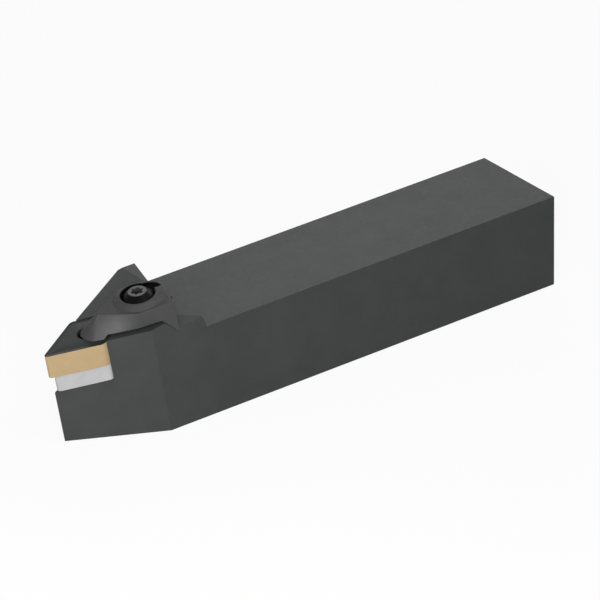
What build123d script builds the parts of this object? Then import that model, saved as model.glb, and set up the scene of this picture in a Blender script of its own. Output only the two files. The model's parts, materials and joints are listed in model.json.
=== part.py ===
"""Neutral turning tool holder with a clamped 55 degree rhombic insert.

Millimetres. The shank runs along X with its foot on Z = 0, the nose points to -X, and the
origin is on the underside, halfway along the tool and halfway across the shank.
Everything about the insert is drawn on one tilted plane that rises from the nose.
"""
from build123d import *
from math import cos, radians, sin, tan
import os

# Shank
overall_length = 150.0
shank_height = 25.0
shank_width = 28.0
shank_edge = 0.4

# Insert and its tilt
insert_tilt = 9.6
nose_from_side = 12.0
insert_edge = 15.5
insert_angle = 55.0
insert_thickness = 6.35
insert_nose_radius = 0.8
insert_side_radius = 2.0
insert_hole = 5.16
chip_land = 0.3
chip_groove = 1.7
chip_depth = 0.2

# Shim and its screw
shim_thickness = 4.76
shim_nose_radius = 0.8
shim_side_radius = 2.4
shim_hole = 4.6
shim_head_bore = 7.2
shim_head_depth = 2.4
shim_screw_thread = 4.0
shim_screw_head = 6.8
shim_screw_head_height = 2.2
shim_screw_length = 10.0

# Head of the holder
flank_inset = 0.7
head_height = 31.25
head_land = 0.2
pocket_clearance = 0.05
corner_relief = 0.9
far_face_relief = 1.9
wall_back = 40.7
wall_lean = 25.0
relief_back = 39.4
relief_point = 33.2
relief_side = 4.5
relief_far_side = 1.8

# Clamp, placed from its screw
screw_back = 27.1
screw_side = 4.4
clamp_angle = 14.0
pad_gap = 0.02
pad_length = 4.4
pad_step = 1.2
plate_gap = 0.9
plate_top = 5.1
plate_rear = 6.7
plate_rear_half = 6.9
plate_waist = -2.9
plate_waist_half = 6.4
plate_bow = 0.35
nose_start = -14.3
nose_half = 3.5
nose_end = -16.1
ridge_start = -10.8
ridge_half = 0.4
ridge_end = -11.2
facet_start = -16.05
facet_angle = 45.0
far_corner_radius = 6.0
boss_radius = 4.7
boss_top = 6.4
boss_spread = 1.5
boss_rear_back = 2.8
boss_rear_side = 0.2
boss_rear_radius = 3.8
recess_wall = 0.35
recess_floor = 5.0
edge_radius = 0.5
pin_radius = 1.5
pin_overlap = 0.3
pin_length = 1.8
pin_clearance = 0.15

# Heel of the clamp and the groove that it slides in
heel_start = 3.5
heel_depth = 3.05
heel_angle = 49.0
heel_clearance = 0.1
groove_spare = 0.25
groove_side_clearance = 0.4

# Clamp screw and spring
screw_thread = 5.0
screw_head = 8.3
screw_seat = 4.7
screw_rim = 0.8
screw_head_height = 2.5
screw_disc = 4.5
screw_length = 17.5
head_clearance = 0.15
thread_clearance = 0.05
shank_clearance = 0.25
hole_spare = 1.5
torx_size = 3.2
torx_depth = 1.6
spring_wire = 0.7
wire_sides = 8
spring_radius = 3.12
spring_turns = 3.5
spring_clearance = 0.1
spring_bore_depth = 3.2

half_angle = radians(insert_angle / 2)
nose_point = Vector(-overall_length / 2, nose_from_side - shank_width / 2, shank_height)
tilt = radians(insert_tilt)
insert_plane = Plane(origin=nose_point, x_dir=(cos(tilt), 0, sin(tilt)), z_dir=(-sin(tilt), 0, cos(tilt)))
rear_corner = 2 * insert_edge * cos(half_angle)
insert_centre = insert_edge * cos(half_angle)
pocket_depth = insert_thickness + shim_thickness
shim_edge = insert_edge - flank_inset / sin(2 * half_angle)

clamp_plane = Plane(insert_plane.location * Location((screw_back, -screw_side, 0), (0, 0, -clamp_angle)))
clamp_side = Plane(origin=clamp_plane.origin, x_dir=clamp_plane.x_dir, z_dir=-clamp_plane.y_dir)
shim_screw_plane = Plane(insert_plane.location * Location((insert_centre, 0, -insert_thickness)))

# Height above the insert's face, for picking faces of the clamp
clamp_rise = Axis(clamp_plane.origin, clamp_plane.z_dir)

# Where the clamp's heel meets the groove, measured along the clamp from its screw
heel_run = heel_depth / tan(radians(heel_angle))
heel_foot = heel_start + heel_run


def on_plan(back, side):
    """A point of the plan, from the nose backwards and from the nose towards the far side."""
    return (nose_point.X + back, nose_point.Y + side)


def diamond(edge, nose_radius, side_radius):
    """A rhombus with the insert's angle whose rear corner is the pocket's rear corner."""
    long_half = edge * cos(half_angle)
    short_half = edge * sin(half_angle)
    with Locations((rear_corner - long_half, 0)):
        corners = [(-long_half, 0), (0, -short_half), (long_half, 0), (0, short_half)]
        shape = Polygon(*corners, align=None)
    corners = shape.vertices().sort_by(Axis.X)
    fillet(corners[1:3], side_radius)
    corners = shape.vertices().sort_by(Axis.X)
    fillet([corners[0], corners[-1]], nose_radius)


def torx(size, points=6):
    """Six-lobed socket outline across its tips."""
    Circle(0.39 * size)
    with PolarLocations(0.36 * size, points):
        Circle(0.14 * size)


# ---------------------------------------------------------------- holder body
near_side = -shank_width / 2

with BuildPart() as holder_body:
    with BuildSketch(Plane.XY):
        Rectangle(overall_length, shank_width)
    extrude(amount=shank_height)
    shank_end_edges = holder_body.faces().sort_by(Axis.X)[-1].edges()
    chamfer(shank_end_edges, shank_edge)

    # Raised head
    with BuildSketch(Plane.XY):
        with Locations((nose_point.X, 0)):
            Rectangle(wall_back, shank_width, align=(Align.MIN, Align.CENTER))
    extrude(amount=head_height)

    # The head's top is parallel to the insert up to its ridge, and level behind it
    with BuildSketch(insert_plane.offset(head_land)):
        Rectangle(2 * overall_length, 4 * shank_width)
    extrude(amount=shank_height, mode=Mode.SUBTRACT)

    # Two front faces parallel to the cutting edges, square to the tilted plane
    wedge_nose = flank_inset / sin(half_angle)
    wedge_length = 2 * overall_length
    far_angle = half_angle - radians(far_face_relief)
    with BuildSketch(insert_plane):
        with BuildLine():
            Polyline(
                (wedge_nose, 0),
                (wedge_length, -(wedge_length - wedge_nose) * tan(half_angle)),
                (wedge_length, (wedge_length - wedge_nose) * tan(far_angle)),
                close=True,
            )
        make_face()
    extrude(amount=overall_length / 2, both=True, mode=Mode.INTERSECT)

    # Behind the head: a leaning wall, and an oblique one towards the far side
    head_rise = head_height - shank_height
    wall_foot = nose_point.X + wall_back
    with BuildSketch(Plane.XZ.offset(-near_side)):
        with BuildLine():
            Polyline(
                (wall_foot, shank_height),
                (wall_foot - head_rise * tan(radians(wall_lean)), head_height),
                (wall_foot, head_height),
                close=True,
            )
        make_face()
    extrude(amount=-(nose_from_side + relief_far_side), mode=Mode.SUBTRACT)
    oblique = (relief_back - relief_point) / (shank_width - nose_from_side + relief_side)
    with BuildSketch(Plane.XY.offset(shank_height)):
        with BuildLine():
            Polyline(
                on_plan(relief_point, -relief_side),
                on_plan(wall_back, relief_far_side),
                on_plan(overall_length / 2, relief_far_side),
                on_plan(overall_length / 2, shank_width),
                on_plan(relief_point + oblique * (shank_width + relief_side), shank_width),
                close=True,
            )
        make_face()
    extrude(amount=head_rise, mode=Mode.SUBTRACT)

    # Pocket, open at both front faces, with a relief at its sharp rear corner
    wall_corner = rear_corner + pocket_clearance / sin(half_angle)
    wall_run = 1.4 * insert_edge
    with BuildSketch(insert_plane.offset(-pocket_depth)):
        with BuildLine():
            Polyline(
                (wall_corner, 0),
                (wall_corner - wall_run * cos(half_angle), -wall_run * sin(half_angle)),
                (-insert_edge, 0),
                (wall_corner - wall_run * cos(half_angle), wall_run * sin(half_angle)),
                close=True,
            )
        make_face()
        with Locations((wall_corner - corner_relief, 0)):
            Circle(corner_relief)
    extrude(amount=pocket_depth + head_rise, mode=Mode.SUBTRACT)

    # Groove for the clamp's heel, open at the near side
    groove_floor = heel_depth + groove_spare
    groove_start = heel_start - heel_clearance
    groove_side = plate_rear_half + groove_side_clearance
    with BuildSketch(clamp_side.offset(-groove_side)):
        with BuildLine():
            Polyline(
                (groove_start + groove_floor / tan(radians(heel_angle)), -groove_floor),
                (groove_start - head_rise / tan(radians(heel_angle)), head_rise),
                (shank_height, head_rise),
                (shank_height, -groove_floor),
                close=True,
            )
        make_face()
    extrude(amount=groove_side + shank_width, mode=Mode.SUBTRACT)

    # Threaded holes, at their nominal size
    thread_hole = screw_thread / 2 + thread_clearance
    hole_depth = screw_length - screw_seat + hole_spare
    with BuildSketch(clamp_plane.offset(head_land)):
        Circle(thread_hole)
    extrude(amount=-hole_depth - head_land, mode=Mode.SUBTRACT)
    with BuildSketch(shim_screw_plane.offset(-shim_thickness)):
        Circle(shim_screw_thread / 2)
    extrude(amount=-shim_screw_length, mode=Mode.SUBTRACT)

# ---------------------------------------------------------------- insert
with BuildPart() as insert:
    with BuildSketch(insert_plane):
        diamond(insert_edge, insert_nose_radius, insert_side_radius)
    extrude(amount=-insert_thickness)
    # Chip groove inside a narrow land, on both faces
    for face_plane, direction in ((insert_plane, -1), (insert_plane.offset(-insert_thickness), 1)):
        with BuildSketch(face_plane):
            with Locations((insert_centre, 0)):
                for inset, mode in ((chip_land, Mode.ADD), (chip_land + chip_groove, Mode.SUBTRACT)):
                    long_half = insert_centre - inset / sin(half_angle)
                    short_half = insert_edge * sin(half_angle) - inset / cos(half_angle)
                    Polygon((-long_half, 0), (0, -short_half), (long_half, 0), (0, short_half),
                            align=None, mode=mode)
        extrude(amount=direction * chip_depth, mode=Mode.SUBTRACT)
    with BuildSketch(insert_plane):
        with Locations((insert_centre, 0)):
            Circle(insert_hole / 2)
    extrude(amount=-insert_thickness, mode=Mode.SUBTRACT)

# ---------------------------------------------------------------- shim
with BuildPart() as shim:
    with BuildSketch(insert_plane.offset(-insert_thickness)):
        diamond(shim_edge, shim_nose_radius, shim_side_radius)
    extrude(amount=-shim_thickness)
    with BuildSketch(shim_screw_plane):
        Circle(shim_head_bore / 2)
    extrude(amount=-shim_head_depth, mode=Mode.SUBTRACT)
    with BuildSketch(shim_screw_plane):
        Circle(shim_hole / 2)
    extrude(amount=-shim_thickness, mode=Mode.SUBTRACT)

# ---------------------------------------------------------------- shim screw
with BuildPart() as shim_screw:
    with BuildSketch(shim_screw_plane.offset(-shim_head_depth)):
        Circle(shim_screw_head / 2)
    extrude(amount=shim_screw_head_height)
    with BuildSketch(shim_screw_plane.offset(-shim_head_depth)):
        Circle(shim_screw_thread / 2)
    extrude(amount=-(shim_screw_length - shim_head_depth))

# ---------------------------------------------------------------- clamp
def clamp_outline(rear_half, waist_half, bow, tip_start, tip_half, tip_end):
    """Plan of the clamp: a bar with straight sides to its waist, then bowed sides to a rounded tip."""
    bow_back = (plate_waist + tip_start) / 2
    bow_half = (waist_half + tip_half) / 2 + bow
    with BuildLine() as outline:
        Line((plate_rear, -rear_half), (plate_rear, rear_half))
        Line((plate_rear, rear_half), (plate_waist, waist_half))
        ThreePointArc((plate_waist, waist_half), (bow_back, bow_half), (tip_start, tip_half))
        ThreePointArc((tip_start, tip_half), (tip_end, 0), (tip_start, -tip_half))
        ThreePointArc((tip_start, -tip_half), (bow_back, -bow_half), (plate_waist, -waist_half))
        Line((plate_waist, -waist_half), (plate_rear, -rear_half))
    plan = make_face(outline.edges())
    rear_corners = plan.vertices().group_by(Axis.X)[-1]
    fillet(rear_corners.sort_by(Axis.Y)[-1], far_corner_radius)


def boss_outline(spread):
    """Plan of the boss: the hull of a circle round the screw and a smaller one behind it."""
    Circle(boss_radius + spread)
    with Locations((boss_rear_back, boss_rear_side)):
        Circle(boss_rear_radius + spread)
    make_hull()


foot_outline = (plate_rear_half, plate_waist_half, plate_bow, nose_start, nose_half, nose_end)
ridge_outline = (plate_rear_half, plate_waist_half, plate_bow / 4, ridge_start, ridge_half, ridge_end)

with BuildPart() as clamp:
    with BuildSketch(clamp_plane.offset(pad_gap)):
        clamp_outline(*foot_outline)
    with BuildSketch(clamp_plane.offset(plate_top)):
        clamp_outline(*ridge_outline)
    loft(ruled=True)

    # Raised boss round the screw head, kept inside the plan
    with BuildSketch(clamp_plane.offset(plate_top)):
        boss_outline(boss_spread)
    with BuildSketch(clamp_plane.offset(boss_top)):
        boss_outline(0)
    loft(ruled=True)
    with BuildSketch(clamp_plane.offset(pad_gap)):
        clamp_outline(*foot_outline)
    extrude(amount=boss_top, mode=Mode.INTERSECT)

    # Underside clear of the head behind the pad that rests on the insert
    pad_end = nose_end + pad_length
    with BuildSketch(clamp_side):
        with BuildLine():
            Polyline(
                (pad_end, pad_gap),
                (pad_end + pad_step, plate_gap),
                (plate_rear, plate_gap),
                (plate_rear, pad_gap),
                close=True,
            )
        make_face()
    extrude(amount=2 * plate_rear_half, both=True, mode=Mode.SUBTRACT)

    # Flat facet on the tip
    facet_rise = boss_top * tan(radians(facet_angle))
    with BuildSketch(clamp_side):
        with BuildLine():
            Polyline(
                (facet_start, 0),
                (facet_start + boss_top, facet_rise),
                (2 * nose_end, facet_rise),
                (2 * nose_end, 0),
                close=True,
            )
        make_face()
    extrude(amount=2 * plate_rear_half, both=True, mode=Mode.SUBTRACT)

    # Heel
    with BuildSketch(clamp_side):
        with BuildLine():
            Polyline(
                (heel_start - plate_gap / tan(radians(heel_angle)), plate_gap),
                (heel_foot, -heel_depth),
                (plate_rear, -heel_depth),
                (plate_rear, plate_gap),
                close=True,
            )
        make_face()
    extrude(amount=plate_rear_half, both=True)
    with BuildSketch(clamp_plane.offset(-heel_depth)):
        clamp_outline(*foot_outline)
    extrude(amount=heel_depth + boss_top, mode=Mode.INTERSECT)

    # Rounded rim, top edges and far rear corner
    rim = clamp.faces().filter_by(clamp_rise).sort_by(clamp_rise)[-1]
    fillet(rim.edges(), edge_radius)

    # Seat of the screw head, open to a recess that is half round and lies behind it
    with BuildSketch(clamp_plane.offset(screw_seat)):
        Circle(screw_head / 2 + head_clearance)
    extrude(amount=boss_top, mode=Mode.SUBTRACT)
    with BuildSketch(clamp_plane.offset(recess_floor)):
        with Locations((boss_rear_back, boss_rear_side)):
            Circle(boss_rear_radius - recess_wall)
        with Locations((0, 0)):
            Rectangle(4 * plate_rear, plate_rear, align=(Align.CENTER, Align.MAX), mode=Mode.SUBTRACT)
    extrude(amount=boss_top, mode=Mode.SUBTRACT)
    with BuildSketch(clamp_plane):
        Circle(screw_thread / 2 + shank_clearance)
    extrude(amount=boss_top, mode=Mode.SUBTRACT)
    with BuildSketch(clamp_plane):
        Circle(spring_radius + spring_wire / 2 + spring_clearance)
    extrude(amount=spring_bore_depth, mode=Mode.SUBTRACT)

    # Pin that draws the insert back by the rear wall of its hole
    with BuildSketch(insert_plane.offset(pad_gap + pin_overlap)):
        with Locations((insert_centre + insert_hole / 2 - pin_radius - pin_clearance, 0)):
            Circle(pin_radius)
    extrude(amount=-pin_length - pin_overlap)

# ---------------------------------------------------------------- clamp screw
with BuildPart() as clamp_screw:
    with BuildSketch(clamp_side):
        with BuildLine():
            Polyline(
                (0, screw_seat - screw_length),
                (screw_thread / 2, screw_seat - screw_length),
                (screw_thread / 2, screw_seat),
                (screw_head / 2, screw_seat),
                (screw_head / 2, screw_seat + screw_rim),
                (screw_disc / 2, screw_seat + screw_head_height),
                (0, screw_seat + screw_head_height),
                close=True,
            )
        make_face()
    revolve(axis=Axis(clamp_plane.origin, clamp_plane.z_dir))
    with BuildSketch(clamp_plane.offset(screw_seat + screw_head_height)):
        torx(torx_size)
    extrude(amount=-torx_depth, mode=Mode.SUBTRACT)

# ---------------------------------------------------------------- clamp spring
spring_foot = head_land
spring_height = spring_bore_depth - spring_foot
coil_height = spring_height - spring_wire / 2
with BuildPart() as clamp_spring:
    with BuildLine(clamp_plane.offset(spring_foot + spring_wire / 4)) as coil:
        Helix(coil_height / spring_turns, coil_height, spring_radius, direction=clamp_plane.z_dir)
    with BuildSketch(Plane(origin=coil.line @ 0, z_dir=coil.line % 0)):
        RegularPolygon(spring_wire / 2, wire_sides)
    sweep(is_frenet=True)
    # Ground ends
    with BuildSketch(clamp_plane.offset(spring_foot)):
        Circle(spring_radius + spring_wire)
    extrude(amount=spring_height, mode=Mode.INTERSECT)

os.makedirs("parts", exist_ok=True)
holder_body.part.label = "holder_body"
export_step(holder_body.part, "parts/holder_body.step")
shim.part.label = "shim"
export_step(shim.part, "parts/shim.step")
shim_screw.part.label = "shim_screw"
export_step(shim_screw.part, "parts/shim_screw.step")
insert.part.label = "insert"
export_step(insert.part, "parts/insert.step")
clamp.part.label = "clamp"
export_step(clamp.part, "parts/clamp.step")
clamp_screw.part.label = "clamp_screw"
export_step(clamp_screw.part, "parts/clamp_screw.step")
clamp_spring.part.label = "clamp_spring"
export_step(clamp_spring.part, "parts/clamp_spring.step")
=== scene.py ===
"""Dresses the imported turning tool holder: finishes, softened edges, studio and camera.

It also makes its own insert, shim and spring in place of the plain CAD ones. Blender works in
metres, and sizes of the tool are written in millimetres, times MM. Plan points and heights are
measured from the insert's sharp nose, along, across and square to its tilted top face.
"""
import json
import math

import bpy
from mathutils import Matrix, Vector

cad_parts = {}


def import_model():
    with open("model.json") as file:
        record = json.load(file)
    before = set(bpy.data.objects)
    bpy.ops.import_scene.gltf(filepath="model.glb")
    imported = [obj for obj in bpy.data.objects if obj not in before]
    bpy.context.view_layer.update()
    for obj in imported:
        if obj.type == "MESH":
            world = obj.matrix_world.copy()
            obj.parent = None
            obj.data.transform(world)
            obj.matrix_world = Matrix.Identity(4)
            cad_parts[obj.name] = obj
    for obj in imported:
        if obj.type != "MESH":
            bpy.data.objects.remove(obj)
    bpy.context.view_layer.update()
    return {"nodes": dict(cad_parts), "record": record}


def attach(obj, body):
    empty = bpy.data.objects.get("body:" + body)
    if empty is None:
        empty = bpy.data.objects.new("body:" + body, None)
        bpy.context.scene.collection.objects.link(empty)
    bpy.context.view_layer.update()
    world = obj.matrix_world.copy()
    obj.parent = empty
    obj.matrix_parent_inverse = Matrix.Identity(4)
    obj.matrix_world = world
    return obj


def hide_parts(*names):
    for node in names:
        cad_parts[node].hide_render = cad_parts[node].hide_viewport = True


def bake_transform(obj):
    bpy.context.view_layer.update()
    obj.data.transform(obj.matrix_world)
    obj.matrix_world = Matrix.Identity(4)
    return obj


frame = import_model()

MM = 0.001
NODES = frame["nodes"]
JOINTS = {joint["name"]: joint for joint in frame["record"]["behaviour"]["joints"]}

# The clamp screw's axis, which is square to the insert's top face
SCREW_POINT = Vector(JOINTS["screw_turn"]["pos_m"])
SCREW_AXIS = Vector(JOINTS["screw_turn"]["axis"]).normalized()

# The insert's top face: its nose, and the directions along its long diagonal, across and up
NOSE = Vector((-0.075, -0.002, 0.025))
ALONG = Vector((SCREW_AXIS.z, 0, -SCREW_AXIS.x)).normalized()
ACROSS = Vector((0, 1, 0))
UP = SCREW_AXIS

# The clamp's directions, turned about its screw, and the point of the screw's axis that is level
# with the insert's face
CLAMP_TURN = math.radians(-14.0)
CLAMP_BACK = ALONG * math.cos(CLAMP_TURN) + ACROSS * math.sin(CLAMP_TURN)
CLAMP_SIDE = UP.cross(CLAMP_BACK)
SCREW_FOOT = SCREW_POINT + UP * (NOSE - SCREW_POINT).dot(UP)

# Screw head: the ground disc on its top, which lies above DISC_FOOT, and the socket
DISC_RADIUS = 2.32
DISC_FOOT = 7.05
SOCKET_RADIUS = 1.65

# Clamp: painted shade in the screw's seat and in the recess behind it, placed from the screw
SEAT_SHADE_RADIUS = 4.42
RECESS_SHADE_BACK = 2.8
RECESS_SHADE_SIDE = 0.2
RECESS_SHADE_RADIUS = 3.5
RECESS_SHADE_FOOT = 4.6
RECESS_SHADE_TOP = 6.1
# Faces of the clamp that look down take painted shade
UNDERSIDE_SHADE_LIMIT = -0.8  # a face whose normal has less than this along UP looks down

# Insert and shim: half the nose's angle, the far end of the long diagonal, and the nose radius
HALF_ANGLE = math.radians(27.5)
REAR_CORNER = 27.498
NOSE_RADIUS = 0.8

INSERT_EDGE = 15.5
INSERT_THICKNESS = 6.35
INSERT_SIDE_RADIUS = 2.0
INSERT_HOLE_RADIUS = 2.58
HOLE_CHAMFER = 0.15
# Honed edge, land and chip groove, as (distance in from the edge, height)
INSERT_PROFILE = (
    (0.0, -0.05),
    (0.05, 0.0),
    (0.3, 0.0),
    (0.5, -0.06),
    (0.9, -0.10),
    (1.4, -0.07),
    (2.0, 0.0),
)

# Shim, with its rear corner under the insert's
SHIM_EDGE = 14.6454
SHIM_THICKNESS = 4.76
SHIM_SIDE_RADIUS = 2.4
SHIM_CHAMFER = 0.08
SHIM_HEAD_RADIUS = 3.6
SHIM_HEAD_DEPTH = 2.4
SHIM_HOLE_RADIUS = 2.3

# Spring: heights are of the wire's middle
SPRING_TURNS = 3.2
COIL_RADIUS = 3.12
COIL_FOOT = 0.56
COIL_TOP = 2.84
WIRE_RADIUS = 0.35

# How finely curves are drawn, in steps, and the angles over which an edge stays sharp
NOSE_STEPS = 8
SIDE_STEPS = 6
EDGE_STEPS = 8
COIL_STEPS = 120
WIRE_STEPS = 12
SMALLEST_RADIUS = 0.03
CARBIDE_SHARP = math.radians(32)
SPRING_SHARP = math.radians(50)

# The part of its range in which noise mostly stays, and the part over which a mottle changes tone
NOISE_LOW, NOISE_HIGH = 0.3, 0.7
MOTTLE_LOW, MOTTLE_HIGH = 0.35, 0.65

# Finishes: the top sRGB level and the curve to linear colour, and how far the roughness and the
# level of black wander from their means
TOP_LEVEL = 255
GAMMA = 2.2
ROUGHNESS_SPREAD = 0.04
BLACK_SPREAD = (-2, 3)
# The insert's coated flank, as its darkest and lightest linear colour
GOLD_DARK = (0.315, 0.226, 0.118)
GOLD_LIGHT = (0.345, 0.247, 0.131)

# Studio in metres, with each lamp's place, width and power in watts
FLOOR_WIDTH = 12
FLOOR_HEIGHT = -0.0002
FLOOR_COLOUR = (0.9, 0.9, 0.9, 1)
FLOOR_GLOW = 0.92
SEEN_SKY = 1.0
SKY_LIGHT = 0.1
WHITE = (1, 1, 1, 1)
LAMP_TARGET = Vector((0, 0, 0.015))
LAMPS = {
    "near": ((-0.28, -0.25, 0.12), 0.25, 1.55),
    "end": ((0.9, 0.15, 0.45), 0.4, 2.0),
    "behind": ((0.53, 0.71, 0.47), 0.5, 1.9),
    "front": ((0.15, -0.5, 0.85), 0.5, 2.4),
}

# Camera, fitted to the photograph's edges: its place, directions and focal length
CAMERA_PLACE = Vector((-0.8368, -1.1240, 0.7609))
CAMERA_FORWARD = Vector((0.52891, 0.70664, -0.47001))
CAMERA_DOWN = Vector((-0.29704, -0.36465, -0.88249))
CAMERA_REACH = 20
FOCAL_PIXELS = 6397.8
PICTURE_PIXELS = 600
SENSOR_MM = 36.0


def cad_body(node):
    """The body that a CAD node belongs to."""
    bodies = frame["record"]["behaviour"]["bodies"]
    return next(body for body, members in bodies.items() if node in members)


# ---------------------------------------------------------------- node helpers
class Shader:
    """A material's node tree with short ways to add and join nodes."""

    def __init__(self, name):
        self.material = bpy.data.materials.new(name)
        self.material.use_nodes = True
        self.tree = self.material.node_tree
        self.bsdf = self.tree.nodes["Principled BSDF"]
        self.place = self.node("ShaderNodeTexCoord").outputs["Object"]

    def node(self, kind, **settings):
        made = self.tree.nodes.new(kind)
        for key, value in settings.items():
            setattr(made, key, value)
        return made

    def join(self, source, target):
        self.tree.links.new(source, target)

    def set(self, **values):
        """Puts plain values on the Principled BSDF's sockets."""
        for key, value in values.items():
            self.bsdf.inputs[key.replace("_", " ")].default_value = value

    def feed(self, **sources):
        """Joins node outputs to the Principled BSDF's sockets."""
        for key, source in sources.items():
            self.join(source, self.bsdf.inputs[key.replace("_", " ")])

    def noise(self, scale, detail, roughness):
        """Noise in object space, at scale cells a metre."""
        made = self.node("ShaderNodeTexNoise")
        made.inputs["Scale"].default_value = scale
        made.inputs["Detail"].default_value = detail
        made.inputs["Roughness"].default_value = roughness
        self.join(self.place, made.inputs["Vector"])
        return made.outputs["Fac"]

    def ramp(self, value, stops):
        """Colour ramp with (place, linear colour) stops."""
        made = self.node("ShaderNodeValToRGB")
        for element, (place, colour) in zip(made.color_ramp.elements, stops):
            element.position = place
            element.color = (*colour, 1)
        self.join(value, made.inputs["Fac"])
        return made.outputs["Color"]

    def span(self, value, low, high):
        """Maps noise to a range of plain numbers."""
        made = self.node("ShaderNodeMapRange")
        made.inputs["From Min"].default_value = NOISE_LOW
        made.inputs["From Max"].default_value = NOISE_HIGH
        made.inputs["To Min"].default_value = low
        made.inputs["To Max"].default_value = high
        self.join(value, made.inputs["Value"])
        return made.outputs["Result"]

    def bump(self, height, distance, strength, under=None):
        """Bump of a distance in metres, on top of another one if under is given."""
        made = self.node("ShaderNodeBump")
        made.inputs["Strength"].default_value = strength
        made.inputs["Distance"].default_value = distance
        self.join(height, made.inputs["Height"])
        if under is not None:
            self.join(under, made.inputs["Normal"])
        return made.outputs["Normal"]

    def mix(self, factor, first, second):
        """First colour where factor is 0, second where it is 1."""
        made = self.node("ShaderNodeMix", data_type="RGBA")
        self.join(factor, made.inputs["Factor"])
        self.join(first, made.inputs[6])
        self.join(second, made.inputs[7])
        return made.outputs[2]

    def math(self, operation, first, second):
        """Maths on two values, each a number or a node's output."""
        made = self.node("ShaderNodeMath", operation=operation)
        for value, socket in ((first, made.inputs[0]), (second, made.inputs[1])):
            if isinstance(value, (int, float)):
                socket.default_value = value
            else:
                self.join(value, socket)
        return made.outputs[0]

    # Masks are 1 where they hold and 0 elsewhere
    def below(self, value, limit):
        return self.math("LESS_THAN", value, limit)

    def above(self, value, limit):
        return self.math("GREATER_THAN", value, limit)

    def both(self, first, second):
        return self.math("MULTIPLY", first, second)

    def either(self, first, second):
        return self.math("MAXIMUM", first, second)

    def along(self, direction, source):
        """Dot product of a vector output with a direction."""
        made = self.node("ShaderNodeVectorMath", operation="DOT_PRODUCT")
        made.inputs[1].default_value = direction
        self.join(source, made.inputs[0])
        return made.outputs["Value"]

    def radius(self, point):
        """Distance in metres from the line through point along the screw's direction."""
        away = self.node("ShaderNodeVectorMath", operation="SUBTRACT")
        away.inputs[1].default_value = point
        self.join(self.place, away.inputs[0])
        crossed = self.node("ShaderNodeVectorMath", operation="CROSS_PRODUCT")
        crossed.inputs[1].default_value = UP
        self.join(away.outputs[0], crossed.inputs[0])
        length = self.node("ShaderNodeVectorMath", operation="LENGTH")
        self.join(crossed.outputs[0], length.inputs[0])
        return length.outputs["Value"]

    def height(self):
        """Height in metres above the insert's face."""
        return self.math("SUBTRACT", self.along(UP, self.place), NOSE.dot(UP))


def seen_rays(tree):
    """1 on rays from the camera and those that gloss and glass send on, 0 on those that light."""
    path = tree.nodes.new("ShaderNodeLightPath")
    seen = path.outputs["Is Camera Ray"]
    for ray in ("Is Glossy Ray", "Is Transmission Ray"):
        larger = tree.nodes.new("ShaderNodeMath")
        larger.operation = "MAXIMUM"
        tree.links.new(seen, larger.inputs[0])
        tree.links.new(path.outputs[ray], larger.inputs[1])
        seen = larger.outputs[0]
    return seen


def grey(level, cast=0.0):
    """Linear colour from an sRGB level of 0 to 255, with red down and green up by cast."""
    return tuple(((level + shift) / TOP_LEVEL) ** GAMMA for shift in (-cast, cast, 0))


# ---------------------------------------------------------------- finishes
def finish(name, level, spread, roughness, specular, grain, metallic=0.0, cast=0.0, mottle=110):
    """A fine-grained finish: mottled colour, uneven roughness, and two sizes of grain.

    Level, spread and cast are sRGB, grain is in millimetres, and mottle is in cells a metre.
    """
    shader = Shader(name)
    dark, light = grey(level - spread, cast), grey(level + spread, cast)
    cloud = shader.noise(scale=mottle, detail=6, roughness=0.6)
    shader.tone = shader.ramp(cloud, ((MOTTLE_LOW, dark), (MOTTLE_HIGH, light)))
    wear = shader.noise(scale=900, detail=5, roughness=0.6)
    rough = shader.span(wear, roughness - ROUGHNESS_SPREAD, roughness + ROUGHNESS_SPREAD)
    fine = shader.noise(scale=8000, detail=3, roughness=0.6)
    fine = shader.bump(fine, distance=grain * MM, strength=0.5)
    broad = shader.noise(scale=600, detail=3, roughness=0.5)
    broad = shader.bump(broad, distance=2 * grain * MM, strength=0.3, under=fine)
    shader.feed(Base_Color=shader.tone, Roughness=rough, Normal=broad)
    shader.set(Metallic=metallic, Specular_IOR_Level=specular)
    return shader


def blacken(shader, mask, level, specular):
    """Turns a finish black, and duller, where mask is 1: the screw's black head, and the clamp's
    painted shade.
    """
    black_and_shade_noise = shader.noise(scale=700, detail=5, roughness=0.6)
    dark, light = (grey(level + shift) for shift in BLACK_SPREAD)
    black = shader.ramp(black_and_shade_noise, ((NOISE_LOW, dark), (NOISE_HIGH, light)))
    shine = shader.node("ShaderNodeMapRange")
    shine.inputs["To Min"].default_value = shader.bsdf.inputs["Specular IOR Level"].default_value
    shine.inputs["To Max"].default_value = specular
    shader.join(mask, shine.inputs["Value"])
    shader.tone = shader.mix(mask, shader.tone, black)
    shader.feed(Base_Color=shader.tone, Specular_IOR_Level=shine.outputs["Result"])


def screw_finish():
    """Black head with a bright ground disc round the socket."""
    shader = finish("screw_steel", level=61, spread=3, roughness=0.42, specular=0.3, grain=0.002)
    radius = shader.radius(SCREW_POINT)
    disc = shader.both(
        shader.below(radius, DISC_RADIUS * MM),
        shader.above(shader.height(), DISC_FOOT * MM),
    )
    bright = shader.either(disc, shader.below(radius, SOCKET_RADIUS * MM))
    blacken(shader, shader.math("SUBTRACT", 1.0, bright), level=9, specular=0.06)
    return shader


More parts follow.
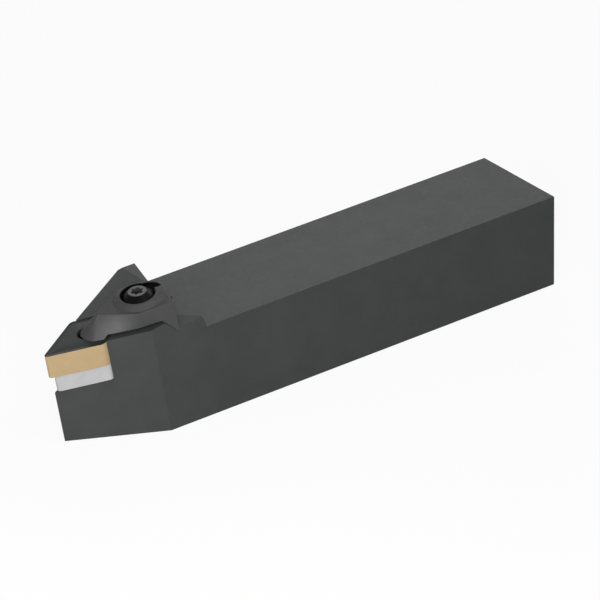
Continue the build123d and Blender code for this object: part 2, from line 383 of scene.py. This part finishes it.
def clamp_finish():
    """Satin steel, with painted shade: black inside the screw's seat, in the recess behind it and
    underneath, where shade falls.
    """
    shader = finish(
        "clamp_steel", level=68, spread=2, roughness=0.46, specular=0.12, grain=0.002, metallic=0.3
    )
    # Painted shade: masks of the seat, the recess and the faces that look down, which are turned
    # black
    height = shader.height()
    seat = shader.below(shader.radius(SCREW_POINT), SEAT_SHADE_RADIUS * MM)
    recess_shade_axis = SCREW_POINT + CLAMP_BACK * RECESS_SHADE_BACK * MM + CLAMP_SIDE * RECESS_SHADE_SIDE * MM
    recess = shader.both(
        shader.below(shader.radius(recess_shade_axis), RECESS_SHADE_RADIUS * MM),
        shader.both(
            shader.above(height, RECESS_SHADE_FOOT * MM),
            shader.below(height, RECESS_SHADE_TOP * MM),
        ),
    )
    normal = shader.node("ShaderNodeNewGeometry").outputs["Normal"]
    under = shader.below(shader.along(UP, normal), UNDERSIDE_SHADE_LIMIT)
    blacken(shader, shader.either(shader.either(seat, recess), under), level=24, specular=0.1)
    shader.set(Specular_Tint=(0.3, 0.3, 0.3, 1))
    return shader


def gold_finish():
    """The coated flank of the insert."""
    shader = Shader("carbide_gold")
    cloud = shader.noise(scale=500, detail=6, roughness=0.6)
    tone = shader.ramp(cloud, ((NOISE_LOW, GOLD_DARK), (NOISE_HIGH, GOLD_LIGHT)))
    wear = shader.noise(scale=1500, detail=4, roughness=0.6)
    rough = shader.span(wear, low=0.42, high=0.5)
    fine = shader.noise(scale=6000, detail=3, roughness=0.6)
    fine = shader.bump(fine, distance=0.002 * MM, strength=0.4)
    shader.feed(Base_Color=tone, Roughness=rough, Normal=fine)
    shader.set(Specular_IOR_Level=0.3)
    return shader


# ---------------------------------------------------------------- CAD nodes
def paint(node, shader):
    """Gives a CAD node its finish."""
    materials = NODES[node].data.materials
    materials.clear()
    materials.append(shader.material)


def weld(node):
    """Joins the facets of a CAD node, so that a modifier finds its real edges."""
    joined = NODES[node].modifiers.new("weld", "WELD")
    joined.merge_threshold = 0.001 * MM


def soften(node, width, segments=2, angle=30):
    """Rounds a node's edges of more than angle degrees a little, so that they catch the light."""
    weld(node)
    bevel = NODES[node].modifiers.new("edges", "BEVEL")
    bevel.width = width * MM
    bevel.segments = segments
    bevel.limit_method = "ANGLE"
    bevel.angle_limit = math.radians(angle)
    bevel.use_clamp_overlap = True
    bevel.harden_normals = True


def melt(node, voxel, rounds):
    """Rounds every edge and crease of a node, as on a sintered part."""
    weld(node)
    even = NODES[node].modifiers.new("even", "REMESH")
    even.mode = "VOXEL"
    even.voxel_size = voxel * MM
    even.use_smooth_shade = True
    smooth = NODES[node].modifiers.new("smooth", "SMOOTH")
    smooth.factor = 0.5
    smooth.iterations = rounds


# ---------------------------------------------------------------- insert, shim and spring
def corner_arc(corner, inward, half, radius, steps):
    """Points round a corner of the plan, whose edges lie at half to each side of inward."""
    reach = radius / math.sin(half)
    centre = (corner[0] + inward[0] * reach, corner[1] + inward[1] * reach)
    start = math.atan2(-inward[1], -inward[0])
    sweep = math.pi / 2 - half
    turns = [start + sweep * (2 * step / steps - 1) for step in range(steps + 1)]
    return [
        (centre[0] + radius * math.cos(turn), centre[1] + radius * math.sin(turn))
        for turn in turns
    ]


def rhombus(centre, edge, side_radius, inset):
    """Plan points of a rounded rhombus drawn in by inset, with points along its sides."""
    long_half = edge * math.cos(HALF_ANGLE) - inset / math.sin(HALF_ANGLE)
    short_half = edge * math.sin(HALF_ANGLE) - inset / math.cos(HALF_ANGLE)
    nose = max(NOSE_RADIUS - inset, SMALLEST_RADIUS)
    side = max(side_radius - inset, SMALLEST_RADIUS)
    other = math.pi / 2 - HALF_ANGLE
    arcs = [
        corner_arc((centre - long_half, 0), (1, 0), HALF_ANGLE, nose, NOSE_STEPS),
        corner_arc((centre, -short_half), (0, 1), other, side, SIDE_STEPS),
        corner_arc((centre + long_half, 0), (-1, 0), HALF_ANGLE, nose, NOSE_STEPS),
        corner_arc((centre, short_half), (0, -1), other, side, SIDE_STEPS),
    ]
    points = []
    for arc, following in zip(arcs, arcs[1:] + arcs[:1]):
        points += arc
        (x0, y0), (x1, y1) = arc[-1], following[0]
        points += [
            (x0 + (x1 - x0) * k / EDGE_STEPS, y0 + (y1 - y0) * k / EDGE_STEPS)
            for k in range(1, EDGE_STEPS)
        ]
    return points


def circle(centre, radius, count):
    """Plan points on a circle, in step with a rhombus's, whose nose arc they start beside."""
    lead = NOSE_STEPS // 2
    turns = [math.pi + 2 * math.pi * (k - lead) / count for k in range(count)]
    return [(centre + radius * math.cos(turn), radius * math.sin(turn)) for turn in turns]


def add_piece(name, points, faces, shaders, finishes, sharp):
    """Smooth mesh piece, whose finishes say which shader each face takes."""
    mesh = bpy.data.meshes.new(name)
    mesh.from_pydata(points, [], faces)
    for shader in shaders:
        mesh.materials.append(shader.material)
    mesh.polygons.foreach_set("material_index", finishes)
    mesh.shade_smooth()
    mesh.set_sharp_from_angle(angle=sharp)
    mesh.update()
    made = bpy.data.objects.new(name, mesh)
    bpy.context.collection.objects.link(made)
    return made


def ringed(name, rings, face, flank):
    """Closed solid with a hole, from rings of (plan points, height).

    The last ring is joined to the first, and the faces between them take the flank's finish.
    """
    count = len(rings[0][0])
    points, faces, finishes = [], [], []
    for plan, height in rings:
        points += [NOSE + (ALONG * x + ACROSS * y + UP * height) * MM for x, y in plan]
    for ring in range(len(rings)):
        after = (ring + 1) % len(rings)
        low, high = ring * count, after * count
        for k in range(count):
            following = (k + 1) % count
            faces.append((low + k, low + following, high + following, high + k))
            finishes.append(1 if after == 0 else 0)
    return add_piece(name, points, faces, (face, flank), finishes, CARBIDE_SHARP)


def make_insert(dark, gold):
    """Insert with honed edges and a curved chip groove inside a narrow land, on both faces."""
    centre = REAR_CORNER / 2
    upper = [
        (rhombus(centre, INSERT_EDGE, INSERT_SIDE_RADIUS, inset), height)
        for inset, height in INSERT_PROFILE
    ]
    count = len(upper[0][0])
    upper += [
        (circle(centre, INSERT_HOLE_RADIUS + HOLE_CHAMFER, count), 0.0),
        (circle(centre, INSERT_HOLE_RADIUS, count), -HOLE_CHAMFER),
    ]
    lower = [(plan, -INSERT_THICKNESS - height) for plan, height in upper]
    made = ringed("insert_piece", upper + lower[::-1], dark, gold)
    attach(made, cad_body("insert"))
    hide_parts("insert")


def make_shim(plain):
    """Shim with a bore that takes its screw's head."""
    top = -INSERT_THICKNESS
    bottom = top - SHIM_THICKNESS
    step = top - SHIM_HEAD_DEPTH
    bore = REAR_CORNER / 2
    centre = REAR_CORNER - SHIM_EDGE * math.cos(HALF_ANGLE)
    edges = [
        (rhombus(centre, SHIM_EDGE, SHIM_SIDE_RADIUS, inset), height)
        for inset, height in ((0.0, -SHIM_CHAMFER), (SHIM_CHAMFER, 0.0))
    ]
    count = len(edges[0][0])
    upper = [(plan, top + height) for plan, height in edges]
    lower = [(plan, bottom - height) for plan, height in edges]
    hole = [
        (circle(bore, SHIM_HEAD_RADIUS, count), top),
        (circle(bore, SHIM_HEAD_RADIUS, count), step),
        (circle(bore, SHIM_HOLE_RADIUS, count), step),
        (circle(bore, SHIM_HOLE_RADIUS, count), bottom),
    ]
    made = ringed("shim_piece", upper + hole + lower[::-1], plain, plain)
    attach(made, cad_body("shim"))
    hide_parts("shim")


def make_spring(shader):
    """Coil spring of round wire, which stands on the head."""
    points, faces = [], []
    for step in range(COIL_STEPS + 1):
        turn = 2 * math.pi * SPRING_TURNS * step / COIL_STEPS
        outward = CLAMP_BACK * math.cos(turn) + CLAMP_SIDE * math.sin(turn)
        height = COIL_FOOT + (COIL_TOP - COIL_FOOT) * step / COIL_STEPS
        for side in range(WIRE_STEPS):
            round_wire = 2 * math.pi * side / WIRE_STEPS
            reach = COIL_RADIUS + WIRE_RADIUS * math.cos(round_wire)
            rise = height + WIRE_RADIUS * math.sin(round_wire)
            points.append(SCREW_FOOT + (outward * reach + UP * rise) * MM)
    for low in range(0, COIL_STEPS * WIRE_STEPS, WIRE_STEPS):
        high = low + WIRE_STEPS
        for side in range(WIRE_STEPS):
            after = (side + 1) % WIRE_STEPS
            faces.append((low + side, high + side, high + after, low + after))
    faces.append(tuple(range(WIRE_STEPS)))
    faces.append(tuple(range(len(points) - WIRE_STEPS, len(points)))[::-1])
    finishes = [0] * len(faces)
    made = add_piece("spring_piece", points, faces, (shader,), finishes, SPRING_SHARP)
    # From the head's top, which stays, to the end of the clamp's bore, which rises
    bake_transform(made)
    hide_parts("clamp_spring")


# ---------------------------------------------------------------- studio
def floor():
    """Plain pale floor that keeps a soft shadow, nearly white to the camera."""
    bpy.ops.mesh.primitive_plane_add(size=FLOOR_WIDTH, location=(0, 0, FLOOR_HEIGHT))
    made = bpy.context.object
    made.name = "floor"
    shader = Shader("floor")
    shader.set(Base_Color=FLOOR_COLOUR, Roughness=0.9, Specular_IOR_Level=0.0)
    glow = shader.node("ShaderNodeEmission")
    glow.inputs["Color"].default_value = WHITE
    mixed = shader.node("ShaderNodeMixShader")
    share = shader.math("MULTIPLY", seen_rays(shader.tree), FLOOR_GLOW)
    shader.join(share, mixed.inputs["Fac"])
    shader.join(shader.bsdf.outputs[0], mixed.inputs[1])
    shader.join(glow.outputs[0], mixed.inputs[2])
    shader.join(mixed.outputs[0], shader.tree.nodes["Material Output"].inputs["Surface"])
    made.data.materials.append(shader.material)


def world():
    """White to the camera, with a dim sky to light the object."""
    made = bpy.data.worlds.new("studio")
    bpy.context.scene.world = made
    made.use_nodes = True
    tree = made.node_tree
    tree.nodes.clear()
    mixed = tree.nodes.new("ShaderNodeMixShader")
    tree.links.new(seen_rays(tree), mixed.inputs["Fac"])
    for strength, socket in ((SKY_LIGHT, mixed.inputs[1]), (SEEN_SKY, mixed.inputs[2])):
        background = tree.nodes.new("ShaderNodeBackground")
        background.inputs["Color"].default_value = WHITE
        background.inputs["Strength"].default_value = strength
        tree.links.new(background.outputs[0], socket)
    output = tree.nodes.new("ShaderNodeOutputWorld")
    tree.links.new(mixed.outputs[0], output.inputs["Surface"])


def softbox(name, place, width, power):
    """A square lamp at place, aimed at the tool."""
    data = bpy.data.lights.new(name, "AREA")
    data.shape = "SQUARE"
    data.size = width
    data.energy = power
    lamp = bpy.data.objects.new(name, data)
    bpy.context.collection.objects.link(lamp)
    lamp.location = place
    aim = LAMP_TARGET - Vector(place)
    lamp.rotation_euler = aim.to_track_quat("-Z", "Y").to_euler()


def camera():
    """The photograph's view."""
    data = bpy.data.cameras.new("camera")
    data.sensor_width = SENSOR_MM
    data.lens = SENSOR_MM * FOCAL_PIXELS / PICTURE_PIXELS
    data.clip_end = CAMERA_REACH
    made = bpy.data.objects.new("camera", data)
    bpy.context.collection.objects.link(made)
    right = CAMERA_DOWN.cross(CAMERA_FORWARD).normalized()
    back = -CAMERA_FORWARD.normalized()
    up = back.cross(right)
    turned = Matrix((right, up, back)).transposed().to_4x4()
    made.matrix_world = Matrix.Translation(CAMERA_PLACE) @ turned
    bpy.context.scene.camera = made


# ---------------------------------------------------------------- the tool
body_steel = finish(
    "holder_steel", level=58, spread=2, roughness=0.55, specular=0.15, grain=0.003, cast=0.9
)
paint("holder_body", body_steel)
soften("holder_body", width=0.15)
paint("clamp", clamp_finish())
melt("clamp", voxel=0.12, rounds=6)
paint("clamp_screw", screw_finish())
shim_screw_steel = finish(
    "shim_screw_steel", level=30, spread=2, roughness=0.4, specular=0.3, grain=0.002
)
paint("shim_screw", shim_screw_steel)

spring_steel = finish(
    "spring_steel", level=120, spread=4, roughness=0.35, specular=0.5, grain=0.002, metallic=0.6
)
make_spring(spring_steel)
carbide_gold = gold_finish()
carbide_dark = finish(
    "carbide_dark",
    level=46,
    spread=2,
    roughness=0.42,
    specular=0.10,
    grain=0.002,
    cast=1.2,
    mottle=300,
)
make_insert(carbide_dark, carbide_gold)
carbide_plain = finish(
    "carbide_plain", level=156, spread=3, roughness=0.5, specular=0.3, grain=0.002, mottle=300
)
make_shim(carbide_plain)

# ---------------------------------------------------------------- the scene
floor()
world()
for lamp, (place, width, power) in LAMPS.items():
    softbox(lamp, place, width, power)
camera()
bpy.context.scene.view_settings.view_transform = "Standard"
